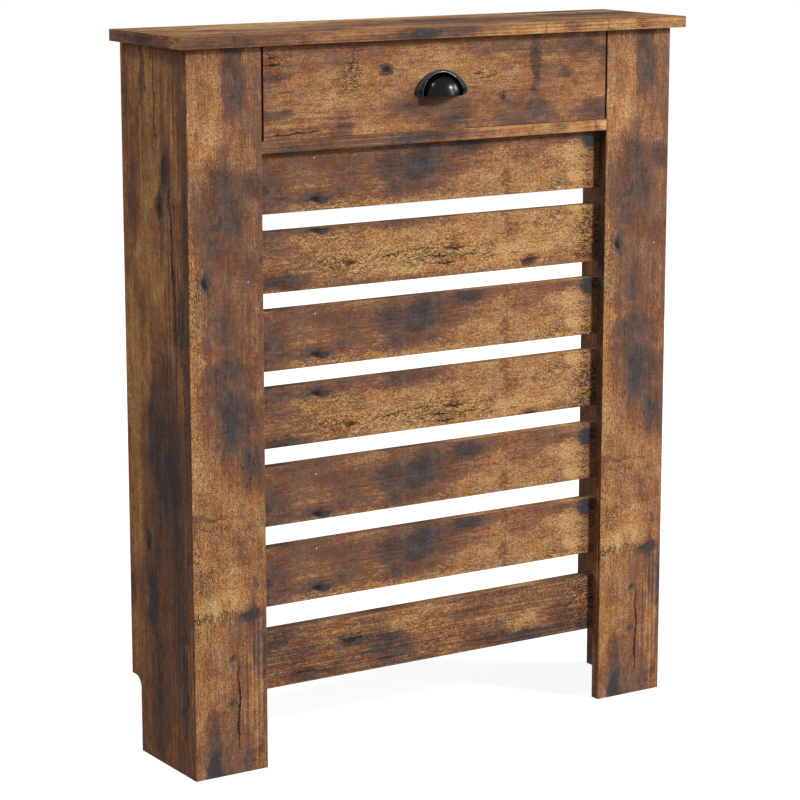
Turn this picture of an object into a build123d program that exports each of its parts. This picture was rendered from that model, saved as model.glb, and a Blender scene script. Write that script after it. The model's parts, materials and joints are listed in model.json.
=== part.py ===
"""Radiator cover cabinet with a drawer, in millimetres.

+Z is up and the front faces -Y. The origin is on the floor, at the middle of the width and of the
depth from the cup pull to the back.
"""

import os
from math import atan2, degrees

from build123d import *

# Case
total_height = 955.0
body_width = 750.0  # over both stiles
body_depth = 175.0  # from the front of the stiles to the back
board = 15.0  # thickness of every board of the case
edge_ease = 0.5  # rounding of the long edges of the boards
top_side_overhang = 15.0
top_front_overhang = 15.0
stile_width = 106.5
opening_height = 120.0  # between the shelf and the top board
notch_depth = 25.0  # room for a skirting board behind each foot
notch_height = 102.0
notch_radius = 15.0

# Slats
slat_height = 79.0
slat_gaps = (22.5, 22.0, 22.0, 24.0, 28.0, 32.0)  # from the top slat downwards
slat_lap = 40.0  # how far each slat reaches behind a stile

# Drawer
front_side_gap = 3.0
front_lower_gap = 0.5
front_upper_gap = 1.5
drawer_board = 12.0
drawer_back_room = 10.0  # between the drawer and the back of its compartment
drawer_side_height = 80.0
drawer_lift = 12.0  # from the shelf to the lower edge of the drawer sides
drawer_bottom_thickness = 3.0
drawer_bottom_rise = 8.0  # of the bottom above the lower edge of the sides
groove_depth = 5.0
groove_clearance = 0.1
drawer_travel = 80.0

# Cup pull
pull_moon_width = 76.0
pull_height = 33.0
pull_rise = 45.0  # of its lower edge above that of the drawer front
pull_plate = 2.0
pull_ear_radius = 5.3
dome_radius = 28.0
dome_reach = 25.0  # of the dome in front of the drawer
dome_wall = 1.6
pull_hole_spacing = 70.0

# Ball-bearing runners
runner_gap = 12.5  # between a runner panel and a drawer side
runner_setback = 2.0  # behind the back face of the drawer front
runner_end_room = 3.0  # between a runner and the back end of the drawer side
runner_height = 35.0
runner_wall = 1.2
runner_flange = 9.0
runner_lip = 1.0
ball_radius = 2.0
ball_play = 0.05
balls_in_row = 5
ball_inset = 4.0  # of the last ball of a row from the end of its cage
cage_wall = 0.8
cage_end_room = 1.0  # between each end of the cage and the end of the overlap at full travel
cage_gap = 0.4  # between the cage and the web of the cabinet member
cage_ball_clearance = 0.1
runner_member_gap = 0.6  # between the cage and the drawer member
runner_screw_inset = 15.0

# Fixings
hole_clearance = 0.1
hole_tip_room = 1.0
screw_inset = 20.0  # of the slat screws from the edge of the opening
slat_screw_offset = 22.0  # above and below the middle of a slat
slat_screw = {"radius": 2.0, "length": 25.0, "head_radius": 3.8, "head_height": 2.2}
shelf_screw = {"radius": 2.5, "length": 45.0, "head_radius": 4.8, "head_height": 3.0}
runner_screw = {"radius": 1.6, "length": 10.0, "head_radius": 3.0, "head_height": 1.0}
drawer_screw = {"radius": 1.8, "length": 35.0, "head_radius": 3.4, "head_height": 2.0}
pull_screw = {"radius": 1.6, "length": 13.0, "head_radius": 3.2, "head_height": 1.8}
bracket_screw = {"radius": 1.8, "length": 12.0, "head_radius": 3.6, "head_height": 2.0}
recess_share = 0.62  # width of a screw's cross recess over that of its head
recess_slot = 0.8
cam = {"radius": 7.4, "bolt_radius": 3.0, "reach": 34.0, "grip": 11.0}
drawer_cam = {"radius": 5.9, "bolt_radius": 2.2, "reach": 24.0, "grip": 9.0}
cam_backing = 2.0  # wood left behind the hole of a cam nut
cam_bolt_past_middle = 3.0
cam_edge_bore_clearance = 0.8  # round a cam bolt inside the edge of a board
stile_cam_lower_inset = 60.0
stile_cam_upper_inset = 70.0
stile_cams = 4
dowel_radius = 4.0
dowel_in_face = 10.0
dowel_in_edge = 20.0
side_cam_front_inset = 70.0  # of the front cam bolt of the top, behind the stiles
side_cam_back_inset = 30.0
shelf_cam_inset = 35.0
back_cam_inset = 30.0
runner_panel_fixing_inset = 30.0
drawer_cam_lower_inset = 19.0
drawer_cam_upper_inset = 12.0
drawer_screw_lower_inset = 16.0
drawer_screw_upper_inset = 12.0

# Wall brackets
bracket_leg = 25.0
bracket_height = 30.0
bracket_plate = 2.0
bracket_drop = 40.0  # of its middle below the shelf
bracket_screw_offset = 8.0
bracket_screw_inset = 15.0
wall_hole_radius = 2.5
wall_hole_inset = 15.0

# Places that follow from the sizes above
front_y = dome_reach - (dome_reach + body_depth) / 2
back_y = front_y + body_depth
behind_stiles_y = front_y + board
half_body = body_width / 2
inner_x = half_body - board
opening_x = half_body - stile_width
top_z = total_height - board
shelf_top_z = top_z - opening_height
shelf_z = shelf_top_z - board
compartment_back_y = back_y - board
side_middle_x = half_body - board / 2
slat_tops = [shelf_z - i * slat_height - sum(slat_gaps[:i]) for i in range(len(slat_gaps) + 1)]

front_half_width = opening_x - front_side_gap
front_z = shelf_top_z + front_lower_gap
front_top_z = top_z - front_upper_gap
drawer_outer_x = opening_x - runner_gap
drawer_inner_x = drawer_outer_x - drawer_board
drawer_z = shelf_top_z + drawer_lift
drawer_top_z = drawer_z + drawer_side_height
drawer_back_y = compartment_back_y - drawer_back_room
drawer_back_front_y = drawer_back_y - drawer_board
drawer_bottom_z = drawer_z + drawer_bottom_rise
drawer_bottom_top_z = drawer_bottom_z + drawer_bottom_thickness
groove_z = (drawer_bottom_z - groove_clearance, drawer_bottom_top_z + groove_clearance)
bottom_entry = groove_depth - groove_clearance
runner_z = drawer_z + drawer_side_height / 2
runner_y = (behind_stiles_y + runner_setback, drawer_back_y - runner_end_room)
runner_length = runner_y[1] - runner_y[0]

sides = {"left": -1, "right": 1}


def block(x, y, z, mode=Mode.ADD):
    # A rectangular block between two x, two y and two z values, given in either order
    middle = ((x[0] + x[1]) / 2, (y[0] + y[1]) / 2, (z[0] + z[1]) / 2)
    with Locations(middle):
        Box(abs(x[1] - x[0]), abs(y[1] - y[0]), abs(z[1] - z[0]), mode=mode)


def planes(places, facing):
    # Planes at the mouths of holes, or under the heads of screws, that face out of the board
    return [Plane(origin=place, z_dir=facing) for place in places]


def drill(places, facing, radius, depth):
    # Blind holes, each from its place into the board
    with Locations(*planes(places, facing)):
        Hole(radius, depth)


def ease_long_edges(part, axis):
    # Rounds the four long edges of a rectangular board
    fillet(part.edges().filter_by(axis).group_by(SortBy.LENGTH)[-1], edge_ease)


def save(builder, name):
    builder.part.label = name
    export_step(builder.part, f"parts/{name}.step")


def make_screw(size, countersunk):
    # A screw with its tip towards -Z. A pan head stands on z = 0 and a countersunk head ends there
    with BuildPart() as screw:
        with BuildSketch(Plane.XZ) as half_section:
            with BuildLine():
                if countersunk:
                    Polyline(
                        (0, 0),
                        (size["head_radius"], 0),
                        (size["radius"], -size["head_height"]),
                        (size["radius"], -size["length"] + size["radius"]),
                        (0, -size["length"]),
                        close=True,
                    )
                else:
                    Polyline(
                        (0, size["head_height"]),
                        (size["head_radius"] / 2, size["head_height"]),
                        (size["head_radius"], size["head_height"] / 3),
                        (size["head_radius"], 0),
                        (size["radius"], 0),
                        (size["radius"], -size["length"] + size["radius"]),
                        (0, -size["length"]),
                        close=True,
                    )
            make_face()
        revolve(axis=Axis.Z)
        recess_top = 0 if countersunk else size["head_height"]
        recess_width = size["head_radius"] * recess_share * 2
        with BuildSketch(Plane.XY.offset(recess_top)):
            Rectangle(recess_width, recess_slot)
            Rectangle(recess_slot, recess_width)
        extrude(amount=-size["head_height"] / 2, mode=Mode.SUBTRACT)
    return screw.part


def save_screws(name, size, countersunk, places_by_facing):
    with BuildPart() as screws:
        for facing, places in places_by_facing.items():
            with Locations(*planes(places, facing)):
                add(make_screw(size, countersunk))
    save(screws, name)


def screw_hole_radius(size):
    return size["radius"] + hole_clearance


def drill_screw_tips(places, facing, size, board_in_front):
    # Pilot holes for what is left of the screws behind the board that they come through
    depth = size["length"] - board_in_front + hole_tip_room
    drill(places, facing, screw_hole_radius(size), depth)


def countersink_through(places, facing, size, depth):
    with Locations(*planes(places, facing)):
        CounterSinkHole(
            screw_hole_radius(size),
            size["head_radius"] + hole_clearance,
            depth,
            countersink_angle(size),
        )


def countersink_angle(size):
    return 2 * degrees(atan2(size["head_radius"] - size["radius"], size["head_height"]))


def vectors(joint):
    return [Vector(*joint[key]) for key in ("at", "into", "out")]


def drill_cam_face(joints, size):
    # Holes for the cam bolts in the board that holds their threads
    depth = size["grip"] + hole_tip_room
    for joint in joints:
        drill([joint["at"]], joint["into"], size["bolt_radius"] + hole_clearance, depth)


def cam_nut_height(thickness):
    return thickness - cam_backing - hole_tip_room


def nut_face(joint, size, thickness):
    at, into, out = vectors(joint)
    return at + into * size["reach"] + out * (thickness / 2)


def drill_cam_edge(joints, size, thickness):
    # The bore along the board and the round pocket of each cam nut
    for joint in joints:
        at, into, out = vectors(joint)
        drill([at], -into, size["bolt_radius"] + cam_edge_bore_clearance, size["reach"])
        pocket_depth = cam_nut_height(thickness) + hole_tip_room
        drill([nut_face(joint, size, thickness)], out, size["radius"] + hole_clearance, pocket_depth)


def add_rod(start, direction, radius, length):
    with Locations(Plane(origin=start, z_dir=direction)):
        Cylinder(radius, length, align=(Align.CENTER, Align.CENTER, Align.MIN))


def save_cam_bolts(name, joints, size):
    with BuildPart() as bolts:
        for joint in joints:
            at, into, out = vectors(joint)
            length = size["grip"] + size["reach"] + cam_bolt_past_middle
            add_rod(at - into * size["grip"], into, size["bolt_radius"], length)
    save(bolts, name)


def save_cam_nuts(name, joints, size, thickness):
    with BuildPart() as nuts:
        for joint in joints:
            at, into, out = vectors(joint)
            face = nut_face(joint, size, thickness)
            height = cam_nut_height(thickness)
            add_rod(face, -out, size["radius"], height)
            with BuildSketch(Plane(origin=face, z_dir=out)):
                Rectangle(size["radius"], recess_slot * 2)
                Rectangle(recess_slot * 2, size["radius"])
            extrude(amount=-height / 5, mode=Mode.SUBTRACT)
            bore_depth = size["radius"] + cam_bolt_past_middle + hole_tip_room
            bore_mouth = at + into * (size["reach"] - size["radius"])
            drill([bore_mouth], -into, size["bolt_radius"] + hole_clearance, bore_depth)
    save(nuts, name)


def drill_dowels_in_face(joints):
    for joint in joints:
        drill([joint["at"]], joint["into"], dowel_radius + hole_clearance, dowel_in_face + hole_tip_room)


def drill_dowels_in_edge(joints):
    for joint in joints:
        facing = -Vector(*joint["into"])
        drill([joint["at"]], facing, dowel_radius + hole_clearance, dowel_in_edge + hole_tip_room)


os.makedirs("parts", exist_ok=True)

# The joints of the case. Each cam bolt or dowel starts at "at" on a board's face, runs "into" the
# edge of the next board, and a cam nut is turned from that board's "out" side
stile_joints, stile_dowels, top_joints, top_dowels = {}, {}, {}, {}
shelf_joints, back_joints, panel_dowels, front_joints = {}, {}, {}, {}
top_cam_ys = (behind_stiles_y + side_cam_front_inset, back_y - side_cam_back_inset)
panel_y = (behind_stiles_y, compartment_back_y)
panel_fixing_ys = (panel_y[0] + runner_panel_fixing_inset, panel_y[1] - runner_panel_fixing_inset)
panel_middle_x = opening_x + board / 2
drawer_side_middle_x = drawer_outer_x - drawer_board / 2
front_cam_zs = (drawer_z + drawer_cam_lower_inset, drawer_top_z - drawer_cam_upper_inset)
stile_cam_pitch = (top_z - stile_cam_lower_inset - stile_cam_upper_inset) / (stile_cams - 1)
stile_cam_zs = [stile_cam_lower_inset + i * stile_cam_pitch for i in range(stile_cams)]
stile_dowel_zs = [z + stile_cam_pitch / 2 for z in stile_cam_zs[:-1]]
for side, sign in sides.items():
    inward, x = (-sign, 0, 0), sign * side_middle_x
    stile_joints[side] = [
        {"at": (x, behind_stiles_y, z), "into": (0, 1, 0), "out": inward} for z in stile_cam_zs
    ]
    stile_dowels[side] = [
        {"at": (x, behind_stiles_y, z), "into": (0, 1, 0)} for z in stile_dowel_zs
    ]
    top_joints[side] = [{"at": (x, y, top_z), "into": (0, 0, -1), "out": inward} for y in top_cam_ys]
    top_dowels[side] = [{"at": (x, sum(top_cam_ys) / 2, top_z), "into": (0, 0, -1)}]
    shelf_joints[side] = [
        {"at": (sign * inner_x, y, shelf_z + board / 2), "into": inward, "out": (0, 0, -1)}
        for y in (behind_stiles_y + shelf_cam_inset, back_y - shelf_cam_inset)
    ]
    back_joints[side] = [
        {"at": (sign * inner_x, back_y - board / 2, z), "into": inward, "out": (0, 1, 0)}
        for z in (shelf_top_z + back_cam_inset, top_z - back_cam_inset)
    ]
    panel_dowels[side] = [
        {"at": (sign * panel_middle_x, y, top_z), "into": (0, 0, -1)} for y in panel_fixing_ys
    ]
    front_joints[side] = [
        {"at": (sign * drawer_side_middle_x, behind_stiles_y, z), "into": (0, 1, 0), "out": inward}
        for z in front_cam_zs
    ]

# Top board
with BuildPart() as top_board:
    top_half = half_body + top_side_overhang
    block((-top_half, top_half), (front_y - top_front_overhang, back_y), (top_z, total_height))
    ease_long_edges(top_board, Axis.X)
    for side in sides:
        drill_cam_face(top_joints[side], cam)
        drill_dowels_in_face(top_dowels[side] + panel_dowels[side])
save(top_board, "top_board")

# Front stiles
slat_screw_x = opening_x + screw_inset
slat_back_y = behind_stiles_y + board


def slat_screw_places(y, side_sign, slat_top):
    middle = slat_top - slat_height / 2
    return [
        (side_sign * slat_screw_x, y, middle + offset)
        for offset in (-slat_screw_offset, slat_screw_offset)
    ]


for side, sign in sides.items():
    with BuildPart() as stile:
        block((sign * opening_x, sign * half_body), (front_y, behind_stiles_y), (0, top_z))
        ease_long_edges(stile, Axis.Z)
        drill_cam_face(stile_joints[side], cam)
        drill_dowels_in_face(stile_dowels[side])
        for slat_top in slat_tops:
            tips = slat_screw_places(behind_stiles_y, sign, slat_top)
            drill_screw_tips(tips, (0, 1, 0), slat_screw, board)
    save(stile, f"{side}_front_stile")

# Side panels, each with a notch over the skirting board
bracket_z = shelf_z - bracket_drop
for side, sign in sides.items():
    bracket_screw_ys_zs = [
        (back_y - bracket_screw_inset, bracket_z + offset)
        for offset in (-bracket_screw_offset, bracket_screw_offset)
    ]
    with BuildPart() as side_panel:
        block((sign * inner_x, sign * half_body), (behind_stiles_y, back_y), (0, top_z))
        notch_y = back_y - notch_depth
        block((sign * inner_x, sign * half_body), (notch_y, back_y), (0, notch_height), Mode.SUBTRACT)
        inner_corner = side_panel.edges().filter_by(Axis.X).filter_by(
            lambda edge: abs(edge.center().Y - notch_y) < edge_ease
            and abs(edge.center().Z - notch_height) < edge_ease
        )
        fillet(inner_corner, notch_radius)
        drill_cam_edge(stile_joints[side] + top_joints[side], cam, board)
        drill_cam_face(shelf_joints[side] + back_joints[side], cam)
        drill_dowels_in_edge(stile_dowels[side] + top_dowels[side])
        tips = [(sign * inner_x, y, z) for y, z in bracket_screw_ys_zs]
        drill_screw_tips(tips, (-sign, 0, 0), bracket_screw, bracket_plate)
    save(side_panel, f"{side}_side_panel")

# Shelf under the drawer, with a tongue between the stiles
panel_screw_places = [
    (sign * panel_middle_x, y, shelf_z) for sign in sides.values() for y in panel_fixing_ys
]
with BuildPart() as drawer_shelf:
    block((-inner_x, inner_x), (behind_stiles_y, back_y), (shelf_z, shelf_top_z))
    block((-opening_x, opening_x), (front_y, behind_stiles_y), (shelf_z, shelf_top_z))
    front_edges = drawer_shelf.edges().filter_by(Axis.X).group_by(Axis.Y)[0]
    fillet(front_edges, edge_ease)
    for side in sides:
        drill_cam_edge(shelf_joints[side], cam, board)
    countersink_through(panel_screw_places, (0, 0, -1), shelf_screw, board)
save(drawer_shelf, "drawer_shelf")

# Back of the drawer compartment
with BuildPart() as compartment_back:
    block((-inner_x, inner_x), (compartment_back_y, back_y), (shelf_top_z, top_z))
    for side in sides:
        drill_cam_edge(back_joints[side], cam, board)
save(compartment_back, "compartment_back")

# Panels beside the drawer, which carry its runners
runner_screw_ys = (runner_y[0] + runner_screw_inset, runner_y[1] - runner_screw_inset)
for side, sign in sides.items():
    with BuildPart() as runner_panel:
        block((sign * opening_x, sign * (opening_x + board)), panel_y, (shelf_top_z, top_z))
        drill_dowels_in_edge(panel_dowels[side])
        tips = [(sign * panel_middle_x, y, shelf_top_z) for y in panel_fixing_ys]
        drill_screw_tips(tips, (0, 0, -1), shelf_screw, board)
        tips = [(sign * opening_x, y, runner_z) for y in runner_screw_ys]
        drill_screw_tips(tips, (-sign, 0, 0), runner_screw, runner_wall)
    save(runner_panel, f"{side}_runner_panel")

# Slats, screwed to the backs of the stiles
slat_half = opening_x + slat_lap
for number, slat_top in enumerate(slat_tops, start=1):
    with BuildPart() as slat:
        block((-slat_half, slat_half), (behind_stiles_y, slat_back_y), (slat_top - slat_height, slat_top))
        ease_long_edges(slat, Axis.X)
        for sign in sides.values():
            heads = slat_screw_places(slat_back_y, sign, slat_top)
            drill(heads, (0, 1, 0), screw_hole_radius(slat_screw), board)
    save(slat, f"slat_{number}")

# Drawer front, flush with the stiles
pull_z = front_z + pull_rise
pull_screw_z = pull_z + pull_ear_radius
with BuildPart() as drawer_front:
    block((-front_half_width, front_half_width), (front_y, behind_stiles_y), (front_z, front_top_z))
    ease_long_edges(drawer_front, Axis.X)
    groove_x = drawer_inner_x + groove_depth
    block((-groove_x, groove_x), (behind_stiles_y - groove_depth, behind_stiles_y), groove_z, Mode.SUBTRACT)
    for side in sides:
        drill_cam_face(front_joints[side], drawer_cam)
    tips = [(sign * pull_hole_spacing / 2, front_y, pull_screw_z) for sign in sides.values()]
    drill_screw_tips(tips, (0, -1, 0), pull_screw, pull_plate)
save(drawer_front, "drawer_front")

# Drawer sides
drawer_back_middle_y = drawer_back_y - drawer_board / 2
drawer_screw_zs = (drawer_z + drawer_screw_lower_inset, drawer_top_z - drawer_screw_upper_inset)
for side, sign in sides.items():
    with BuildPart() as drawer_side:
        block(
            (sign * drawer_inner_x, sign * drawer_outer_x),
            (behind_stiles_y, drawer_back_y),
            (drawer_z, drawer_top_z),
        )
        block(
            (sign * drawer_inner_x, sign * groove_x),
            (behind_stiles_y, drawer_back_front_y + groove_depth),
            groove_z,
            Mode.SUBTRACT,
        )
        drill_cam_edge(front_joints[side], drawer_cam, drawer_board)
        heads = [(sign * drawer_outer_x, drawer_back_middle_y, z) for z in drawer_screw_zs]
        countersink_through(heads, (sign, 0, 0), drawer_screw, drawer_board)
        tips = [(sign * drawer_outer_x, y, runner_z) for y in runner_screw_ys]
        drill_screw_tips(tips, (sign, 0, 0), runner_screw, runner_wall)
    save(drawer_side, f"drawer_{side}_side")

# Drawer back
with BuildPart() as drawer_back:
    block(
        (-drawer_inner_x, drawer_inner_x),
        (drawer_back_front_y, drawer_back_y),
        (drawer_z, drawer_top_z),
    )
    block(
        (-drawer_inner_x, drawer_inner_x),
        (drawer_back_front_y, drawer_back_front_y + groove_depth),
        groove_z,
        Mode.SUBTRACT,
    )
    for sign in sides.values():
        tips = [(sign * drawer_inner_x, drawer_back_middle_y, z) for z in drawer_screw_zs]
        drill_screw_tips(tips, (sign, 0, 0), drawer_screw, drawer_board)
save(drawer_back, "drawer_back")

# Drawer bottom, held in the grooves
with BuildPart() as drawer_bottom:
    bottom_half = drawer_inner_x + bottom_entry
    bottom_y = (behind_stiles_y - bottom_entry, drawer_back_front_y + bottom_entry)
    block((-bottom_half, bottom_half), bottom_y, (drawer_bottom_z, drawer_bottom_top_z))
save(drawer_bottom, "drawer_bottom")

# Cup pull: a half-moon plate with two ears, and a half dome that is open below
with BuildPart() as cup_pull:
    with BuildSketch(Plane(origin=(0, front_y, pull_z), x_dir=(1, 0, 0), z_dir=(0, -1, 0))):
        with BuildLine():
            ThreePointArc((-pull_moon_width / 2, 0), (0, pull_height), (pull_moon_width / 2, 0))
            Line((pull_moon_width / 2, 0), (-pull_moon_width / 2, 0))
        make_face()
        with Locations(*[(sign * pull_hole_spacing / 2, pull_ear_radius) for sign in sides.values()]):
            Circle(pull_ear_radius)
    extrude(amount=pull_plate)
    for shrink, mode in ((0, Mode.ADD), (dome_wall, Mode.SUBTRACT)):
        radius, reach = dome_radius - shrink, dome_reach - shrink
        with BuildSketch(Plane.XY.offset(pull_z)):
            with BuildLine():
                Line((0, front_y), (radius, front_y))
                EllipticalCenterArc((0, front_y), radius, reach, start_angle=270, arc_size=90)
                Line((0, front_y - reach), (0, front_y))
            make_face()
        revolve(axis=Axis((0, front_y, pull_z), (0, -1, 0)), revolution_arc=180, mode=mode)
    plate_y = front_y - pull_plate
    pull_screw_places = [(sign * pull_hole_spacing / 2, plate_y, pull_screw_z) for sign in sides.values()]
    drill(pull_screw_places, (0, -1, 0), screw_hole_radius(pull_screw), pull_plate)
save(cup_pull, "cup_pull")

# Ball-bearing runners. Each depth is measured from the runner panel towards the drawer
cage_depth = runner_wall + cage_gap
drawer_member_depth = cage_depth + cage_wall + runner_member_gap
ball_depth = (cage_depth + cage_wall + runner_flange - runner_wall) / 2
row_z = runner_height / 2 - runner_wall - ball_play - ball_radius
drawer_member_half = row_z - ball_radius - ball_play
cage_half_length = (runner_length - drawer_travel) / 2 - cage_end_room
cage_middle_y = sum(runner_y) / 2
ball_pitch = 2 * (cage_half_length - ball_inset) / (balls_in_row - 1)
ball_ys = [cage_middle_y + (i - (balls_in_row - 1) / 2) * ball_pitch for i in range(balls_in_row)]


def depths(side_sign, first, last):
    return (side_sign * (opening_x - first), side_sign * (opening_x - last))


for side, sign in sides.items():
    flange_z = runner_height / 2 - runner_wall
    web_z = (runner_z - runner_height / 2, runner_z + runner_height / 2)
    with BuildPart() as cabinet_member:
        block(depths(sign, 0, runner_wall), runner_y, web_z)
        for up in (-1, 1):
            outer, lip = runner_z + up * runner_height / 2, runner_z + up * (flange_z - runner_lip)
            block(depths(sign, 0, runner_flange), runner_y, (runner_z + up * flange_z, outer))
            block(depths(sign, runner_flange - runner_wall, runner_flange), runner_y, (lip, outer))
        heads = [(sign * (opening_x - runner_wall), y, runner_z) for y in runner_screw_ys]
        countersink_through(heads, (-sign, 0, 0), runner_screw, runner_wall)
    save(cabinet_member, f"{side}_cabinet_runner")

    with BuildPart() as drawer_member:
        web_depths = depths(sign, runner_gap - runner_wall, runner_gap)
        block(web_depths, runner_y, (runner_z - drawer_member_half, runner_z + drawer_member_half))
        for up in (-1, 1):
            flange = (runner_z + up * (drawer_member_half - runner_wall), runner_z + up * drawer_member_half)
            block(depths(sign, drawer_member_depth, runner_gap), runner_y, flange)
        heads = [(sign * (drawer_outer_x + runner_wall), y, runner_z) for y in runner_screw_ys]
        countersink_through(heads, (sign, 0, 0), runner_screw, runner_wall)
    save(drawer_member, f"{side}_drawer_runner")

    with BuildPart() as ball_cage:
        cage_y = (cage_middle_y - cage_half_length, cage_middle_y + cage_half_length)
        cage_top = row_z + cage_wall / 2
        cage_z = (runner_z - cage_top, runner_z + cage_top)
        block(depths(sign, cage_depth, cage_depth + cage_wall), cage_y, cage_z)
        for up in (-1, 1):
            strip = (runner_z + up * (cage_top - cage_wall), runner_z + up * cage_top)
            block(depths(sign, cage_depth, ball_depth + ball_radius), cage_y, strip)
            with Locations(*[(sign * (opening_x - ball_depth), y, runner_z + up * row_z) for y in ball_ys]):
                Cylinder(ball_radius + cage_ball_clearance, cage_wall * 2, mode=Mode.SUBTRACT)
    save(ball_cage, f"{side}_ball_cage")

    with BuildPart() as balls:
        for up in (-1, 1):
            with Locations(*[(sign * (opening_x - ball_depth), y, runner_z + up * row_z) for y in ball_ys]):
                Sphere(ball_radius)
    save(balls, f"{side}_runner_balls")

# Wall brackets, inside the side panels at the back
for side, sign in sides.items():
    bracket_heights = (bracket_z - bracket_height / 2, bracket_z + bracket_height / 2)
    leg_end_x = sign * (inner_x - bracket_leg)
    with BuildPart() as wall_bracket:
        block(
            (sign * inner_x, sign * (inner_x - bracket_plate)),
            (back_y - bracket_leg, back_y),
            bracket_heights,
        )
        block((sign * inner_x, leg_end_x), (back_y - bracket_plate, back_y), bracket_heights)
        screw_places = [
            (sign * (inner_x - bracket_plate), back_y - bracket_screw_inset, bracket_z + offset)
            for offset in (-bracket_screw_offset, bracket_screw_offset)
        ]
        drill(screw_places, (-sign, 0, 0), screw_hole_radius(bracket_screw), bracket_plate)
        wall_hole = (sign * (inner_x - wall_hole_inset), back_y, bracket_z)
        drill([wall_hole], (0, 1, 0), wall_hole_radius, bracket_plate)
    save(wall_bracket, f"{side}_wall_bracket")

# Screws, cams and dowels, each kind as one group
back_heads = [
    place
    for slat_top in slat_tops
    for sign in sides.values()
    for place in slat_screw_places(slat_back_y, sign, slat_top)
]
save_screws("slat_screws", slat_screw, False, {(0, 1, 0): back_heads})
save_screws("runner_panel_screws", shelf_screw, True, {(0, 0, -1): panel_screw_places})
save_screws("cup_pull_screws", pull_screw, False, {(0, -1, 0): pull_screw_places})
save_screws(
    "cabinet_runner_screws",
    runner_screw,
    True,
    {
        (-sign, 0, 0): [(sign * (opening_x - runner_wall), y, runner_z) for y in runner_screw_ys]
        for sign in sides.values()
    },
)
save_screws(
    "drawer_runner_screws",
    runner_screw,
    True,
    {
        (sign, 0, 0): [(sign * (drawer_outer_x + runner_wall), y, runner_z) for y in runner_screw_ys]
        for sign in sides.values()
    },
)
save_screws(
    "drawer_back_screws",
    drawer_screw,
    True,
    {
        (sign, 0, 0): [(sign * drawer_outer_x, drawer_back_middle_y, z) for z in drawer_screw_zs]
        for sign in sides.values()
    },
)
save_screws(
    "wall_bracket_screws",
    bracket_screw,
    False,
    {
        (-sign, 0, 0): [
            (sign * (inner_x - bracket_plate), back_y - bracket_screw_inset, bracket_z + offset)
            for offset in (-bracket_screw_offset, bracket_screw_offset)
        ]
        for sign in sides.values()
    },
)
case_joints = [
    joint
    for side in sides
    for joint in stile_joints[side] + top_joints[side] + shelf_joints[side] + back_joints[side]
]
save_cam_bolts("cam_bolts", case_joints, cam)
save_cam_nuts("cam_nuts", case_joints, cam, board)
drawer_joints = front_joints["left"] + front_joints["right"]
save_cam_bolts("drawer_cam_bolts", drawer_joints, drawer_cam)
save_cam_nuts("drawer_cam_nuts", drawer_joints, drawer_cam, drawer_board)
with BuildPart() as dowels:
    for side in sides:
        for joint in stile_dowels[side] + top_dowels[side] + panel_dowels[side]:
            start = Vector(*joint["at"]) - Vector(*joint["into"]) * dowel_in_face
            add_rod(start, joint["into"], dowel_radius, dowel_in_face + dowel_in_edge)
save(dowels, "dowels")
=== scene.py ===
import json
import math

import bmesh
import bpy
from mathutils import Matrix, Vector


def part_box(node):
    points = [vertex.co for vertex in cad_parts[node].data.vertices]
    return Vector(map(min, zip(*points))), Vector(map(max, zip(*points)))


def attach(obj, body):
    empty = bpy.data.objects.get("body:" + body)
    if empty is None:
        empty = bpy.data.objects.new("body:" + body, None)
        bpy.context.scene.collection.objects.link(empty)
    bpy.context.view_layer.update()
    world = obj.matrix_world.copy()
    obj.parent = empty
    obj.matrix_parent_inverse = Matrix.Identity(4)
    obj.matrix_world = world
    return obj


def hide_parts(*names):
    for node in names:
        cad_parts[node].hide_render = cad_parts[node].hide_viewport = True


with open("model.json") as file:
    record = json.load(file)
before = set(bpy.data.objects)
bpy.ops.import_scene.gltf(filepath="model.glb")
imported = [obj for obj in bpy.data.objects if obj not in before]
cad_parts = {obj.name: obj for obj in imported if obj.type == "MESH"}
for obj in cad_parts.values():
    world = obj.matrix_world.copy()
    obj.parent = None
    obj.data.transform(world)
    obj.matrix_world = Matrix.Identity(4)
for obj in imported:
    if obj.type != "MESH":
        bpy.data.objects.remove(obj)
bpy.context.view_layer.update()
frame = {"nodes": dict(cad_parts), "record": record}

nodes = frame["nodes"]
mm = 0.001
fromTo = ("From Min", "From Max", "To Min", "To Max")  # the limits of a Map Range node, in order
noiseMiddle = 0.5  # the value that a noise texture wavers about
bpy.ops.object.select_all(action="DESELECT")
print("frame loaded:", len(nodes), "nodes")


def fromHex(code):
    # an sRGB hex value as the linear colour that Blender works in
    channels = [int(code[i:i + 2], 16) / 255 for i in (1, 3, 5)]
    linear = [c / 12.92 if c <= 0.04045 else ((c + 0.055) / 1.055) ** 2.4 for c in channels]
    return (*linear, 1.0)


def addNode(tree, kind, settings=None, links=None):
    # settings are the node's properties, its sockets' values or its colour stops, and links
    # feed its sockets
    node = tree.nodes.new(kind)
    for name, value in (settings or {}).items():
        if name == "stops":
            while len(node.color_ramp.elements) < len(value):
                node.color_ramp.elements.new(1.0)
            for element, (place, code) in zip(node.color_ramp.elements, value):
                element.position, element.color = place, fromHex(code)
        elif isinstance(name, int) or name in node.inputs:
            node.inputs[name].default_value = value
        else:
            setattr(node, name, value)
    for name, source in (links or {}).items():
        if isinstance(source, (int, float)):
            node.inputs[name].default_value = source
        else:
            tree.links.new(source, node.inputs[name])
    return node


def newMaterial(name):
    # an empty material, ready for its nodes
    material = bpy.data.materials.new(name)
    material.use_nodes = True
    material.node_tree.nodes.clear()
    return material, material.node_tree


def dress(piece, material):
    # the piece's only material, whether it comes from the frame or is modelled here
    piece.data.materials.clear()
    piece.data.materials.append(material)


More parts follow.
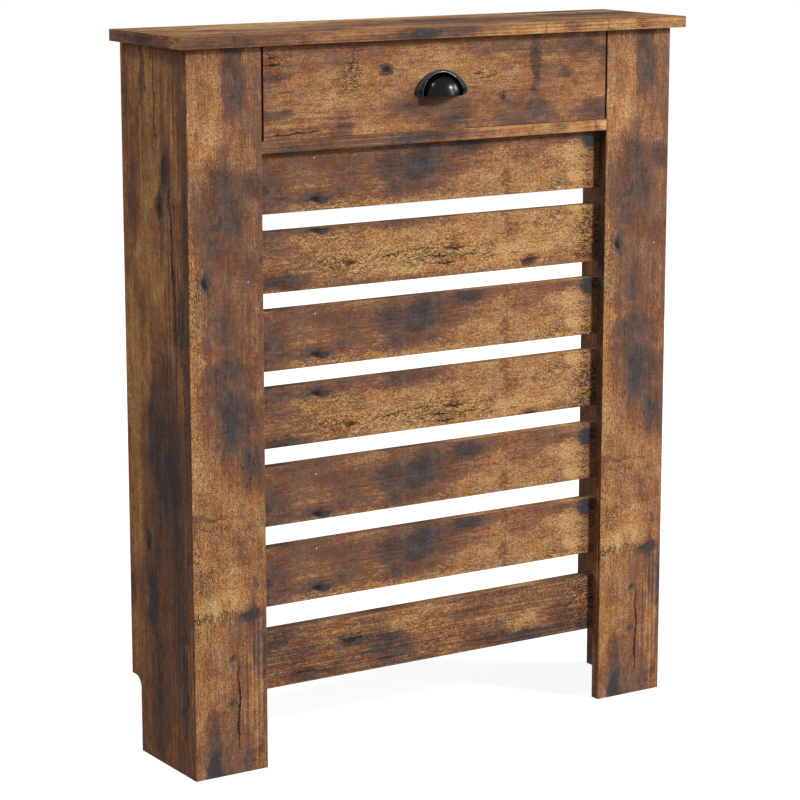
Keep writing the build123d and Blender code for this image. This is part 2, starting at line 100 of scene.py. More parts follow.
# the print of the melamine boards: one number, the tone, runs from slate through purple brown and
# red brown to gold, and ink is laid over it; lengths are in mm, and groups of four numbers are
# the limits of a Map Range node
rusticPrint = {
    "tones": [(0.0, "#454243"), (0.12, "#584a44"), (0.25, "#6b5145"), (0.38, "#7b5947"),
              (0.5, "#91684b"), (0.62, "#a47b52"), (0.76, "#b68f5d"), (1.0, "#c7a471")],
    "ink": "#251e1b", "chip": "#b2b7b0", "blush": "#f8e4d9",
    "middle": 0.46,
    # the marks listed below: how strongly they count, how far they reach past their size, how
    # wide their soft rim is, and their depth, which goes through the whole board
    "markStrength": 0.6, "markReach": 1.25, "markRim": 0.5, "markDepth": 1e6,
    # length along the grain, width across it, detail, roughness of the noise, offset
    "fields": {
        "pushBroad": (30, 18, 2, 0.5, 3.1), "pushFine": (6, 3.5, 2, 0.5, 8.7),
        "cloud": (150, 48, 4, 0.55, 0.0), "patch": (34, 17, 3, 0.6, 21.0),
        "mottle": (9, 5, 2, 0.6, 29.0), "streak": (120, 5, 3, 0.6, 37.0),
        "grain": (22, 1.5, 2, 0.6, 5.0), "speckle": (2.2, 1.6, 1, 0.5, 11.0),
        "saw": (1.8, 36, 2, 0.6, 15.0), "fibre": (240, 2.5, 1, 0.5, 19.0),
        "fleck": (3.4, 1.5, 1, 0.5, 45.0), "worm": (11, 3.4, 2, 0.6, 57.0),
        "crack": (60, 7, 2, 0.5, 51.0), "crackPlace": (90, 45, 1, 0.5, 63.0),
        "pore": (2.4, 1.8, 1, 0.5, 77.0), "blush": (30, 17, 3, 0.6, 91.0),
    },
    # how much of the offset also counts across the board, and of the seed through it
    "offsetAcross": 0.7, "seedThrough": 0.3,
    # how far two of the fields push the marks about, how much further along the grain than
    # across it, and the share of this that the drawn ink gets
    "ragged": {"pushBroad": 22, "pushFine": 11}, "raggedStretch": 1.6, "inkShare": 0.4,
    # how far each of the broad fields moves the tone
    "broad": {"cloud": 0.6, "patch": 0.42, "mottle": 0.45, "streak": 0.34},
    # low and high end of each fine field, how far it moves the tone, where it shows
    "fine": {
        "grain": (0.25, 0.75, 0.26, "all"), "speckle": (0.3, 0.7, 0.46, "golden"),
        "saw": (0.25, 0.75, 0.17, "dark"), "fibre": (0.3, 0.7, 0.34, "fibrous"),
    },
    # how strongly the fine print shows by the tone, where worm marks crowd, and off the fibre
    "goldenZone": (0.28, 0.68, 0.34, 1.0), "darkZone": (0.15, 0.6, 1.0, 0.3),
    "crowdSpeckle": 0.5, "fibreElsewhere": 0.16,
    # where the redder patches and the wandering cracks come
    "blushZone": (0.42, 0.62, 0.0, 1.0), "crackZone": (0.6, 0.66, 0.0, 0.8),
    # lines of ink along the middle of a field: their width there, where they show
    "lines": {"crack": (0.012, "cracked"), "worm": (0.055, "crowded")},
    # dots of ink where a field is high: its low and high end, how black they are, where they show
    "dots": {"fleck": (0.6, 0.68, 0.8, "golden"), "pore": (0.64, 0.74, 0.6, "all")},
    # how the ink breaks up with the speckle, and how rough the board is by its tone
    "inkBreaks": (0.3, 0.55, 0.5, 1.0), "roughness": (0.2, 0.8, 0.68, 0.58),
    # how deep the ink is sunk, and how high the fields stand
    "inkDepth": -1.2, "relief": {"grain": 0.6, "saw": 0.35},
}

# marks of each print: along the grain, across it, half length, half width, tilt, and how much
# lighter or darker they make the tone
slatMarks = [
    (-120, 14, 95, 24, 0, 0.2), (-175, 52, 62, 15, 0, -0.42), (-140, 84, 70, 14, 0, -0.2),
    (-150, 16, 26, 10, 0, -0.2), (-10, 30, 62, 30, 0, -0.34), (10, 30, 9, 8, 0, -0.4),
    (-35, 71, 18, 12, 0, -0.35), (70, 40, 120, 36, 0, -0.2), (140, 2, 110, 12, 0, 0.3),
    (60, 82, 80, 16, 0, 0.1), (85, 14, 13, 6, 0, -0.6), (82, 17, 24, 12, 0, -0.2),
    (150, 55, 60, 20, 0, -0.14), (200, 36, 18, 40, 0, -0.2), (238, 44, 26, 16, 0, -0.22),
    (245, 42, 60, 38, 0, -0.22), (290, 62, 62, 30, 0, -0.26), (330, 72, 34, 16, 0, -0.3),
    (360, 25, 90, 40, 0, 0.2), (400, 60, 70, 26, 0, 0.12), (430, 40, 26, 24, 0, -0.26),
    (470, 20, 70, 34, 0, 0.22), (500, 40, 22, 46, 0, 0.24), (384, 20, 3, 28, 0, -0.25),
    (465, 41, 3, 14, 0, -0.25), (400, 42, 4, 30, 0, -0.2), (521, 66, 8, 18, 0.33, -0.5),
    (492, 70, 24, 6, 0, -0.26),
    (560, 74, 46, 12, 0.1, -0.4), (515, 66, 16, 10, 0, -0.3), (480, 56, 34, 14, 0, 0.24),
    (590, 20, 70, 30, 0, 0.12), (572, 43, 8, 6, 0, -0.3), (630, 40, 11, 8, 0, -0.34),
    (700, 76, 9, 7, 0, -0.3), (692, 20, 60, 12, 0, -0.45), (722, 20, 28, 11, 0, -0.3),
    (715, 62, 22, 5, 0, -0.3), (650, 78, 60, 16, 0, 0.1), (300, -25, 260, 34, 0, 0.3),
    (290, -32, 200, 26, 0, 0.27), (30, -48, 44, 12, 0, -0.5), (12, -24, 22, 3, -0.3, 0.2),
    (420, -51, 16, 7, 0, -0.75),
    (392, -12, 18, 14, 0, -0.28), (150, -7, 14, 9, 0, -0.3), (395, -40, 5, 3, 0.6, -0.5),
    (30, 122, 190, 44, 0, -0.24), (445, 118, 22, 12, 0, -0.42), (340, 96, 120, 14, 0, -0.1),
    (620, 110, 80, 30, 0, 0.1), (-40, -20, 50, 16, 0, -0.2), (640, 20, 60, 30, 0, 0.1),
]
topMarks = [
    (170, 84, 150, 24, 0, 0.36), (110, 66, 50, 14, 0.1, 0.3), (300, 92, 170, 12, 0, 0.36),
    (470, 96, 130, 9, 0, 0.35), (200, 55, 70, 12, 0, 0.25), (80, 78, 18, 6, 0, -0.5),
    (430, 42, 150, 26, 0, -0.4), (425, 62, 28, 9, 0, -0.7), (475, 64, 26, 8, 0, -0.7),
    (700, 60, 90, 13, 0, -0.65), (650, 70, 30, 8, 0, -0.45), (690, 94, 60, 7, 0, -0.65),
    (640, 98, 30, 6, 0, -0.5), (660, 83, 70, 6, 0, 0.5), (745, 82, 34, 9, 0, 0.5),
    (240, 15, 28, 7, 0, -0.7), (200, 13, 20, 5, 0, -0.45), (80, 11, 34, 7, 0, -0.45),
    (80, 46, 16, 7, 0, -0.55), (60, 34, 40, 10, 0, 0.25), (555, 11, 28, 6, 0, -0.6),
    (530, 2, 60, 5, 0, 0.45), (660, 28, 80, 7, 0, 0.3), (600, 45, 90, 9, 0, -0.3),
    (340, 24, 90, 7, 0, 0.25), (410, 28, 20, 5, 0, -0.35), (600, 62, 14, 5, 0, -0.45),
    (250, 40, 60, 4, 0, -0.4), (150, 98, 60, 3, 0, -0.3), (330, 76, 70, 3, 0, -0.4),
    (560, 80, 90, 4, 0, 0.3), (720, 30, 40, 4, 0, -0.4), (300, 8, 70, 3, 0, 0.3),
    # its ends, 330 mm up the sheet
    (165, 338, 22, 12, 0, 0.4), (248, 338, 24, 10, 0, -0.26), (300, 335, 30, 8, 0, -0.1),
    # the strip along the front edges, which lies 400 mm up the sheet
    (90, 408, 250, 30, 0, -0.3), (-12, 407, 16, 7, 0, -0.25), (75, 402, 16, 4, 0, -0.3),
    (224, 408, 9, 9, 0, -0.2), (258, 407, 26, 9, 0, -0.38), (310, 412, 44, 8, 0, -0.22),
    (400, 406, 70, 24, 0, 0.1), (455, 405, 60, 24, 0, 0.14), (574, 407, 30, 20, 0, 0.4),
    (645, 405, 44, 20, 0, 0.16), (522, 407, 26, 20, 0, 0.16), (490, 408, 17, 8, 0, -0.3),
    (606, 412, 14, 6, 0, -0.5), (446, 407, 2, 16, 0, -0.25), (550, 407, 2, 16, 0, -0.3),
]
drawerMarks = [
    (12, 80, 24, 8, 0, -0.46), (12, 32, 34, 7, 0, -0.5), (60, 55, 70, 30, 0, 0.2),
    (182, 83, 12, 7, 0, -0.7), (150, 60, 60, 40, 0, 0.2), (250, 88, 70, 26, 0, 0.28),
    (115, 5, 18, 10, 0, -0.4), (115, 45, 10, 50, 0, -0.16), (270, 28, 50, 26, 0, -0.26),
    (288, 12, 22, 12, 0, -0.3), (210, 40, 30, 20, 0, -0.12), (416, 76, 7, 38, 0, -0.6),
    (385, 82, 28, 9, 0.2, -0.3), (400, 14, 56, 26, 0, -0.36), (418, 22, 20, 12, 0, -0.3),
    (365, 37, 9, 6, 0, -0.4), (350, 75, 60, 24, 0, 0.14), (468, 68, 13, 9, 0, -0.4),
    (500, 95, 50, 20, 0, -0.2), (515, 14, 40, 16, 0, -0.4), (500, 50, 50, 20, 0, 0.12),
    (170, 12, 60, 14, 0, 0.16), (330, 105, 60, 12, 0, -0.12), (530, 88, 12, 20, 0, -0.25),
    (440, 104, 90, 12, 0, -0.24), (495, 78, 34, 12, 0, 0.24),
]
lowSlatMarks = [
    (30, 50, 70, 34, 0, -0.26), (28, 62, 22, 9, 0, -0.3), (135, 48, 18, 6, 0, -0.5),
    (100, 60, 70, 18, 0, 0.26), (170, 42, 34, 24, 0, -0.26), (200, 24, 34, 22, 0, -0.4),
    (250, 62, 60, 22, 0, 0.22), (254, 70, 16, 8, 0, 0.25), (290, 20, 50, 18, 0, 0.12),
    (425, 26, 34, 18, 0.1, 0.4), (400, 48, 80, 20, 0.12, 0.22), (380, 8, 60, 10, 0, -0.24),
    (455, 7, 66, 11, 0, -0.5), (480, 34, 34, 16, 0, -0.26), (70, 12, 60, 9, 0, -0.34),
    (330, 50, 50, 20, 0, -0.12), (350, 22, 50, 14, 0, -0.24), (512, 58, 22, 18, 0, 0.2),
    (524, 12, 16, 14, 0, -0.4),
]
sideMarks = [
    (870, 80, 90, 60, 0, 0.12), (905, 58, 40, 7, 0, -0.6), (862, 90, 70, 2.2, 0, -0.5),
    (790, 118, 28, 12, 0, -0.34), (737, 100, 15, 13, 0, -0.6), (765, 110, 40, 8, 0.2, -0.34),
    (702, 104, 44, 6, 0, -0.4), (690, 80, 90, 50, 0, 0.2), (680, 132, 130, 3, -0.08, -0.7),
    (640, 160, 190, 6, 0, -0.36), (600, 152, 50, 8, 0, -0.6), (740, 30, 60, 14, 0, -0.26),
    (720, 60, 14, 34, 0, -0.16), (610, 36, 40, 24, 0, -0.16), (520, 22, 120, 22, 0, 0.24),
    (450, 105, 110, 46, 0, -0.28), (440, 75, 60, 20, 0, -0.25), (330, 22, 90, 22, 0, 0.2),
    (292, 54, 14, 6, 0, -0.6), (260, 110, 200, 60, 0, -0.22), (215, 66, 46, 16, 0, -0.34),
    (212, 1, 24, 15, 0, -0.42), (150, 24, 60, 20, 0, 0.16), (120, 150, 90, 8, 0, -0.45),
    (60, 80, 60, 26, 0, -0.26), (350, 140, 160, 24, 0, -0.1), (300, 165, 260, 4, 0, 0.14),
    (640, 175, 160, 12, 0, 0.06), (880, 150, 60, 20, 0, -0.2), (880, 12, 60, 8, 0, -0.2),
    (230, 90, 260, 160, 0, -0.12),
]

# where the short worm marks crowd together, with how many
slatWorms = [
    (150, -32, 60, 15, 0, 0.8), (270, -30, 66, 18, 0, 1.0), (90, -25, 40, 12, 0, 0.5),
    (520, -28, 26, 36, 0, 1.0), (470, 10, 20, 12, 0, 0.6), (350, -32, 20, 14, 0, 0.7),
    (517, 22, 9, 40, 0, 0.9), (110, 2, 60, 9, 0, 0.5), (-50, 28, 18, 20, 0, 0.5),
    (430, 30, 60, 40, 0, 0.25), (600, 25, 90, 30, 0, 0.2), (260, -36, 330, 60, 0, 0.3),
]
drawerWorms = [
    (18, 100, 24, 12, 0, 0.65), (130, 80, 14, 34, 0, 1.2), (510, 97, 34, 10, 0, 0.7),
    (330, 70, 34, 12, 0, 0.5), (385, 92, 40, 12, 0, 0.4), (60, 8, 50, 8, 0, 0.4),
]
lowSlatWorms = [
    (518, 48, 24, 42, 0, 1.0), (135, 48, 18, 8, 0, 0.9), (70, 13, 28, 6, 0, 0.5),
    (490, 62, 10, 10, 0, 0.7), (260, 30, 40, 30, 0, 0.2), (260, 44, 360, 90, 0, 0.5),
]
sideWorms = [
    (490, 12, 46, 12, 0, 0.9), (340, 20, 40, 18, 0, 0.8), (715, 40, 20, 40, 0, 0.4),
    (475, 90, 800, 260, 0, -0.7),
]
topWorms = [(300, 408, 460, 60, 0, -0.8), (120, 80, 60, 14, 0, 0.4)]

# where the straight fibre shows, with how strongly
slatFibres = [
    (630, 84, 150, 26, 0, 1.3), (540, 100, 260, 8, 0, 0.8), (120, 100, 160, 8, 0, 0.5),
    (470, -35, 80, 30, 0, 0.5), (600, 60, 80, 20, 0, 0.3),
]
drawerFibres = [
    (60, 18, 90, 26, 0, 0.6), (430, 86, 90, 26, 0, 0.5), (250, 10, 120, 14, 0, 0.3),
]
lowSlatFibres = [(270, 36, 420, 90, 0, 0.9)]
sideFibres = [
    (460, 140, 520, 34, 0, 0.8), (860, 80, 120, 70, 0, 0.15), (475, 80, 700, 160, 0, 0.4),
]
topFibres = [(390, 52, 700, 110, 0, 1.4), (300, 408, 460, 60, 0, 0.9)]

# drawn in ink: cracks and the cores of knots, with how black they are
slatInk = [
    (640, 51, 64, 1.5, 0, 1.0), (85, 14, 7, 3.5, 0, 0.8), (300, -24, 16, 2.2, 0.05, 1.0),
    (268, -34, 22, 1.3, -0.06, 0.9), (200, -26, 22, 1.2, 0.08, 0.8), (322, -36, 16, 1.3, 0.1, 0.9),
    (136, -32, 10, 3, 0, 0.8), (248, -22, 14, 1.3, 0, 0.8), (285, -44, 18, 1.2, 0, 0.8),
    (419, -51, 9, 3.5, 0, 0.7), (572, 43, 4, 2.5, 0, 0.4), (630, 40, 4, 3, 0, 0.5),
    (700, 76, 4, 3, 0, 0.6), (387, 22, 50, 1.0, 1.57, 0.4),
]
topInk = [
    (446, 407, 12, 1.2, 1.57, 0.6), (550, 407, 12, 1.2, 1.57, 0.6), (600, 404, 20, 1.2, 0, 0.6),
]
drawerInk = [
    (45, 8, 38, 1.3, 0.04, 1.0), (182, 83, 6, 3.2, 0, 0.9), (130, 92, 8, 1.2, 0.1, 0.8),
    (12, 95, 14, 1.3, 0, 1.0), (15, 103, 10, 1.2, 0.1, 0.9), (365, 37, 4, 2.6, 0, 0.7),
    (340, 66, 14, 1.2, 0.1, 0.8), (322, 72, 10, 1.2, 0, 0.7), (30, 58, 18, 1.1, 0.12, 0.6),
]
lowSlatInk = [(135, 48, 10, 2.2, 0, 0.8), (65, 13, 22, 1.3, 0, 0.9), (190, 12, 12, 1.3, 0, 0.6)]
sideInk = [
    (860, 90, 58, 1.1, 0, 0.9), (680, 131, 120, 1.5, -0.07, 1.0), (737, 100, 6, 5, 0, 0.8),
    (292, 54, 8, 3.2, 0, 0.9), (742, 138, 3, 3, 0, 0.9), (654, 132, 3, 2.5, 0, 0.9),
    (440, 160, 90, 1.3, 0, 0.7), (852, 80, 4, 4, 0, 0.6), (560, 156, 80, 1.2, 0, 0.6),
]

# white chips: small pinholes in the print
slatChips = [(85, 68, 1.15, 1.15, 0, 1.0)]


def addMarks(tree, place, marks, total):
    # adds every mark to the running total: each is an ellipse with a soft rim
    reach = rusticPrint["markReach"]
    for along, across, length, width, tilt, change in marks:
        spot = addNode(tree, "ShaderNodeMapping", {
            "vector_type": "TEXTURE", "Location": (along, across, 0), "Rotation": (0, 0, tilt),
            "Scale": (length * reach, width * reach, rusticPrint["markDepth"])},
            {"Vector": place})
        cone = addNode(tree, "ShaderNodeTexGradient", {"gradient_type": "SPHERICAL"},
                       {"Vector": spot.outputs[0]})
        soft = addNode(tree, "ShaderNodeMapRange", {
            "interpolation_type": "SMOOTHSTEP", "From Min": 0.0, "From Max": rusticPrint["markRim"],
            "To Min": 0.0, "To Max": change}, {"Value": cone.outputs["Fac"]})
        joined = addNode(tree, "ShaderNodeMath", {"operation": "ADD"},
                         {0: total, 1: soft.outputs[0]})
        total = joined.outputs[0]
    return total


def makePrint(name, marks, worms, fibres, inks, chips, seed):
    # a group that turns a place on the board, in mm, into the print's colour and relief
    s = rusticPrint
    tree = bpy.data.node_groups.new(name, "ShaderNodeTree")
    for label, way, kind in (("Place", "INPUT", "Vector"), ("Shift", "INPUT", "Float"),
                             ("Color", "OUTPUT", "Color"), ("Roughness", "OUTPUT", "Float"),
                             ("Relief", "OUTPUT", "Float")):
        tree.interface.new_socket(label, in_out=way, socket_type="NodeSocket" + kind)
    given = addNode(tree, "NodeGroupInput").outputs
    place = given["Place"]

    fields = {}
    for label, (length, width, detail, rough, offset) in s["fields"].items():
        spot = addNode(tree, "ShaderNodeMapping", {
            "Location": (seed + offset, offset * s["offsetAcross"], seed * s["seedThrough"]),
            "Scale": (1 / length, 1 / width, 1 / width)}, {"Vector": place})
        noise = addNode(tree, "ShaderNodeTexNoise", {
            "Scale": 1.0, "Detail": detail, "Roughness": rough}, {"Vector": spot.outputs[0]})
        fields[label] = noise.outputs

    # ragged edges: the place is pushed about by two of the fields before the marks are drawn
    ragged, lightlyRagged = place, place
    for label, amount in s["ragged"].items():
        centred = addNode(tree, "ShaderNodeVectorMath", {
            "operation": "SUBTRACT", 1: (noiseMiddle, noiseMiddle, noiseMiddle)},
            {0: fields[label]["Color"]})
        ragged, lightlyRagged = (addNode(tree, "ShaderNodeVectorMath", {
            "operation": "MULTIPLY_ADD",
            1: (amount * share * s["raggedStretch"], amount * share, 0)},
            {0: centred.outputs[0], 2: start}).outputs[0]
            for start, share in ((ragged, 1), (lightlyRagged, s["inkShare"])))

    # the shift moves the tone: print tone, and painted light and shade on some faces
    level = s["middle"] - sum(s["broad"].values()) * noiseMiddle
    tone = addNode(tree, "ShaderNodeMath", {"operation": "ADD", 1: level},
                   {0: given["Shift"]}).outputs[0]
    for label, depth in s["broad"].items():
        tone = addNode(tree, "ShaderNodeMath", {"operation": "MULTIPLY_ADD", 1: depth},
                       {0: fields[label]["Fac"], 2: tone}).outputs[0]
    scaled = [(*mark[:5], mark[5] * s["markStrength"]) for mark in marks]
    tone = addMarks(tree, ragged, scaled, tone)

    # the fine print: speckle where the board is golden, saw marks where it is dark, fibre and worm
    # marks in their own zones
    crowd = addMarks(tree, ragged, worms, 0.0)
    golden = addNode(tree, "ShaderNodeMapRange", dict(zip(fromTo, s["goldenZone"])),
                     {"Value": tone})
    speckled = addNode(tree, "ShaderNodeMath", {
        "operation": "MULTIPLY_ADD", 1: s["crowdSpeckle"]}, {0: crowd, 2: golden.outputs[0]})
    dark = addNode(tree, "ShaderNodeMapRange", dict(zip(fromTo, s["darkZone"])), {"Value": tone})
    cracked = addNode(tree, "ShaderNodeMapRange", dict(zip(fromTo, s["crackZone"])),
                      {"Value": fields["crackPlace"]["Fac"]})
    shows = {
        "all": 1.0, "golden": speckled.outputs[0], "dark": dark.outputs[0],
        "fibrous": addMarks(tree, ragged, fibres, s["fibreElsewhere"]),
        "cracked": cracked.outputs[0], "crowded": crowd,
    }
    for label, (low, high, depth, where) in s["fine"].items():
        moved = addNode(tree, "ShaderNodeMapRange",
                        dict(zip(fromTo, (low, high, -depth / 2, depth / 2))),
                        {"Value": fields[label]["Fac"]})
        tone = addNode(tree, "ShaderNodeMath", {"operation": "MULTIPLY_ADD"},
                       {0: moved.outputs[0], 1: shows[where], 2: tone}).outputs[0]
    tones = addNode(tree, "ShaderNodeValToRGB", {"stops": s["tones"]}, {"Fac": tone})
    # redder patches come and go over the gold
    red = addNode(tree, "ShaderNodeMapRange", dict(zip(fromTo, s["blushZone"])),
                  {"Value": fields["blush"]["Fac"]})
    blushed = addNode(tree, "ShaderNodeMix", {
        "data_type": "RGBA", "blend_type": "MULTIPLY", 7: fromHex(s["blush"])},
        {0: red.outputs[0], 6: tones.outputs[0]})

    # ink: the placed cracks, then free wandering cracks and worm marks, flecks and pores
    ink = addMarks(tree, lightlyRagged, inks, 0.0)
    for label, (width, where) in s["lines"].items():
        below = addNode(tree, "ShaderNodeMath", {"operation": "SUBTRACT", 1: noiseMiddle},
                        {0: fields[label]["Fac"]})
        away = addNode(tree, "ShaderNodeMath", {"operation": "ABSOLUTE"}, {0: below.outputs[0]})
        line = addNode(tree, "ShaderNodeMapRange", dict(zip(fromTo, (0.0, width, 1.0, 0.0))),
                       {"Value": away.outputs[0]})
        ink = addNode(tree, "ShaderNodeMath", {"operation": "MULTIPLY_ADD"},
                      {0: line.outputs[0], 1: shows[where], 2: ink}).outputs[0]
    for label, (low, high, depth, where) in s["dots"].items():
        spots = addNode(tree, "ShaderNodeMapRange", dict(zip(fromTo, (low, high, 0.0, depth))),
                        {"Value": fields[label]["Fac"]})
        ink = addNode(tree, "ShaderNodeMath", {"operation": "MULTIPLY_ADD"},
                      {0: spots.outputs[0], 1: shows[where], 2: ink}).outputs[0]
    broken = addNode(tree, "ShaderNodeMapRange", dict(zip(fromTo, s["inkBreaks"])),
                     {"Value": fields["speckle"]["Fac"]})
    full = addNode(tree, "ShaderNodeMath", {"operation": "MINIMUM", 1: 1.0}, {0: ink})
    ink = addNode(tree, "ShaderNodeMath", {"operation": "MULTIPLY"},
                  {0: full.outputs[0], 1: broken.outputs[0]}).outputs[0]
    inked = addNode(tree, "ShaderNodeMix", {"data_type": "RGBA", 7: fromHex(s["ink"])},
                    {0: ink, 6: blushed.outputs[2]})
    chipped = addNode(tree, "ShaderNodeMix", {"data_type": "RGBA", 7: fromHex(s["chip"])},
                      {0: addMarks(tree, place, chips, 0.0), 6: inked.outputs[2]})

    rough = addNode(tree, "ShaderNodeMapRange", dict(zip(fromTo, s["roughness"])), {"Value": tone})
    sunken = addNode(tree, "ShaderNodeMath", {"operation": "MULTIPLY", 1: s["inkDepth"]}, {0: ink})
    relief = sunken.outputs[0]
    for label, height in s["relief"].items():
        relief = addNode(tree, "ShaderNodeMath", {"operation": "MULTIPLY_ADD", 1: height},
                         {0: fields[label]["Fac"], 2: relief}).outputs[0]
    addNode(tree, "NodeGroupOutput", links={
        "Color": chipped.outputs[2], "Roughness": rough.outputs[0], "Relief": relief})
    return tree


# each print, with the seed that moves its fields
prints = {
    "slat": makePrint("rusticSlatPrint", slatMarks, slatWorms, slatFibres, slatInk, slatChips,
                      seed=0.0),
    "drawer": makePrint("rusticDrawerPrint", drawerMarks, drawerWorms, drawerFibres, drawerInk,
                        [], seed=40.0),
    "low": makePrint("rusticLowSlatPrint", lowSlatMarks, lowSlatWorms, lowSlatFibres, lowSlatInk,
                     [], seed=80.0),
    "top": makePrint("rusticTopPrint", topMarks, topWorms, topFibres, topInk, [], seed=160.0),
    "side": makePrint("rusticSidePrint", sideMarks, sideWorms, sideFibres, sideInk, [], seed=120.0),
}
print("prints made:", len(prints))

# each board: its print; which axes run along the grain, across it and through the board; the
# print's direction and scale, and where it starts in mm, on the broad faces; how much lighter or
# darker than the print the faces, the edges and the ends are, partly as painted light and shade:
# painted light on the slats' top edges, painted shade on the stiles' edges, on the drawer front's
# ends and on the right side panel's inner face
boards = {
    # the slats' edges are lighter than their faces: painted light along the top edges that catch
    # the light
    "slat_1": ("slat", "XZY", (1, 1), (268.5, -726), (-0.02, 0.08, -0.2)),
    "slat_2": ("slat", "XZY", (1, 1), (268.5, -686.5), (0, 0.08, -0.2)),
    "slat_3": ("slat", "XZY", (1, 1), (268.5, -524.5), (-0.02, 0.08, -0.2)),
    "slat_4": ("slat", "XZY", (1, 1), (268.5, -473.5), (-0.03, 0.08, -0.2)),
    "slat_5": ("slat", "XZY", (1, 1), (268.5, -312.5), (-0.03, 0.08, -0.2)),
    "slat_6": ("slat", "XZY", (1, 1), (268.5, -212.5), (-0.03, 0.08, -0.2)),
    "slat_7": ("low", "XZY", (1, 1), (268.5, -101.5), (-0.04, 0.05, -0.2)),
    # the stiles' edges are darker than their faces: painted shade on their narrow edges
    "left_front_stile": ("slat", "ZXY", (-1, 0.85), (730, 314.75), (-0.02, -0.14, 0)),
    "right_front_stile": ("slat", "ZXY", (-1, 0.85), (730, -232.2), (-0.03, -0.14, 0)),
    # the drawer front's ends are darker: painted shade in the gaps beside the drawer
    "drawer_front": ("drawer", "XZY", (1, 1), (265.5, -820.5), (0, -0.1, -0.15)),
    "drawer_shelf": ("top", "XYZ", (1, 1), (298.5, 105), (0, 0.05, 0)),
    "top_board": ("top", "XYZ", (1, 0.55), (390, 49.5), (0.05, 0.03, -0.08)),
    "left_side_panel": ("side", "ZYX", (1, -1), (0, 100), (0, -0.1, 0)),
    # the right side panel's faces are darker: painted shade on its inner face, seen between the
    # slats
    "right_side_panel": ("side", "ZYX", (1, -1), (4, 92), (-0.14, -0.1, 0)),
    "compartment_back": ("drawer", "XZY", (-1, 1), (300, -800), (-0.05, 0, 0)),
    "left_runner_panel": ("side", "YZX", (1, 1), (360, -790), (-0.1, 0, 0)),
    "right_runner_panel": ("side", "YZX", (1, 1), (560, -790), (-0.1, 0, 0)),
}
# where the strip of print on a long edge starts along the edge and across it, and its direction
edgeStrips = {"top_board": (290, 400, 1), "drawer_shelf": (298.5, 400, 1),
              "left_front_stile": (730, 96, -1), "right_front_stile": (730, 96, -1)}
# where the other edges and the ends start, how squarely a face looks along an axis to count as
# an edge or an end, and the board's embossing and sheen
boardFinish = {"edgeAcross": 26, "endStart": (150, 330), "squarely": 0.8,
               "emboss": 0.35, "embossDepth": 0.15, "sheen": 0.01}

for name, (printName, axes, signs, starts, toneAndShadeShifts) in boards.items():
    material, tree = newMaterial("rusticMelamine_" + name)
    coords = addNode(tree, "ShaderNodeTexCoord")
    spot = addNode(tree, "ShaderNodeSeparateXYZ", links={0: coords.outputs["Object"]})
    facing = addNode(tree, "ShaderNodeSeparateXYZ", links={0: coords.outputs["Normal"]})
    corner = {axis: value / mm for axis, value in zip("XYZ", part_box(name)[0])}
    alongStart, acrossStart, sign = edgeStrips.get(
        name, (starts[0], boardFinish["edgeAcross"], signs[0]))
    endAlong, endAcross = boardFinish["endStart"]
    # the broad faces, then the long edges, then the ends: axes in order, directions, starts
    layouts = (
        (axes, signs, starts),
        (axes[0] + axes[2] + axes[1], (sign, 1), (alongStart, acrossStart - corner[axes[2]])),
        (axes[1] + axes[2] + axes[0], (1, 1),
         (endAlong - corner[axes[1]], endAcross - corner[axes[2]])),
    )
    # the shifts carry print tone together with painted light and shade
    place, toneAndShadeShift = None, toneAndShadeShifts[0]
    for (order, scale, start), change in zip(layouts, toneAndShadeShifts):
        joined = addNode(tree, "ShaderNodeCombineXYZ",
                         links={i: spot.outputs[axis] for i, axis in enumerate(order)})
        laid = addNode(tree, "ShaderNodeMapping", {
            "Scale": (scale[0] / mm, scale[1] / mm, 1 / mm), "Location": (*start, 0)},
            {"Vector": joined.outputs[0]}).outputs[0]
        if place is None:
            place = laid
            continue
        # 1 where the face looks along the layout's last axis
        size = addNode(tree, "ShaderNodeMath", {"operation": "ABSOLUTE"},
                       {0: facing.outputs[order[2]]})
        here = addNode(tree, "ShaderNodeMath", {
            "operation": "GREATER_THAN", 1: boardFinish["squarely"]},
            {0: size.outputs[0]}).outputs[0]
        place = addNode(tree, "ShaderNodeMix", {"data_type": "VECTOR"},
                        {0: here, 4: place, 5: laid}).outputs[1]
        toneAndShadeShift = addNode(tree, "ShaderNodeMath", {
            "operation": "MULTIPLY_ADD", 1: change - toneAndShadeShifts[0]}, {0: here, 2: toneAndShadeShift}).outputs[0]
    group = addNode(tree, "ShaderNodeGroup", {"node_tree": prints[printName]})
    for socket, source in (("Place", place), ("Shift", toneAndShadeShift)):
        tree.links.new(source, group.inputs[socket])
    bump = addNode(tree, "ShaderNodeBump", {
        "Strength": boardFinish["emboss"], "Distance": boardFinish["embossDepth"] * mm},
        {"Height": group.outputs["Relief"]})
    # matt embossed melamine: the print carries the look, with hardly any sheen
    shader = addNode(tree, "ShaderNodeBsdfPrincipled", {
        "Specular IOR Level": boardFinish["sheen"]}, {
        "Base Color": group.outputs["Color"], "Roughness": group.outputs["Roughness"],
        "Normal": bump.outputs[0]})
    addNode(tree, "ShaderNodeOutputMaterial", links={"Surface": shader.outputs[0]})
    dress(nodes[name], material)
print("boards dressed:", len(boards))

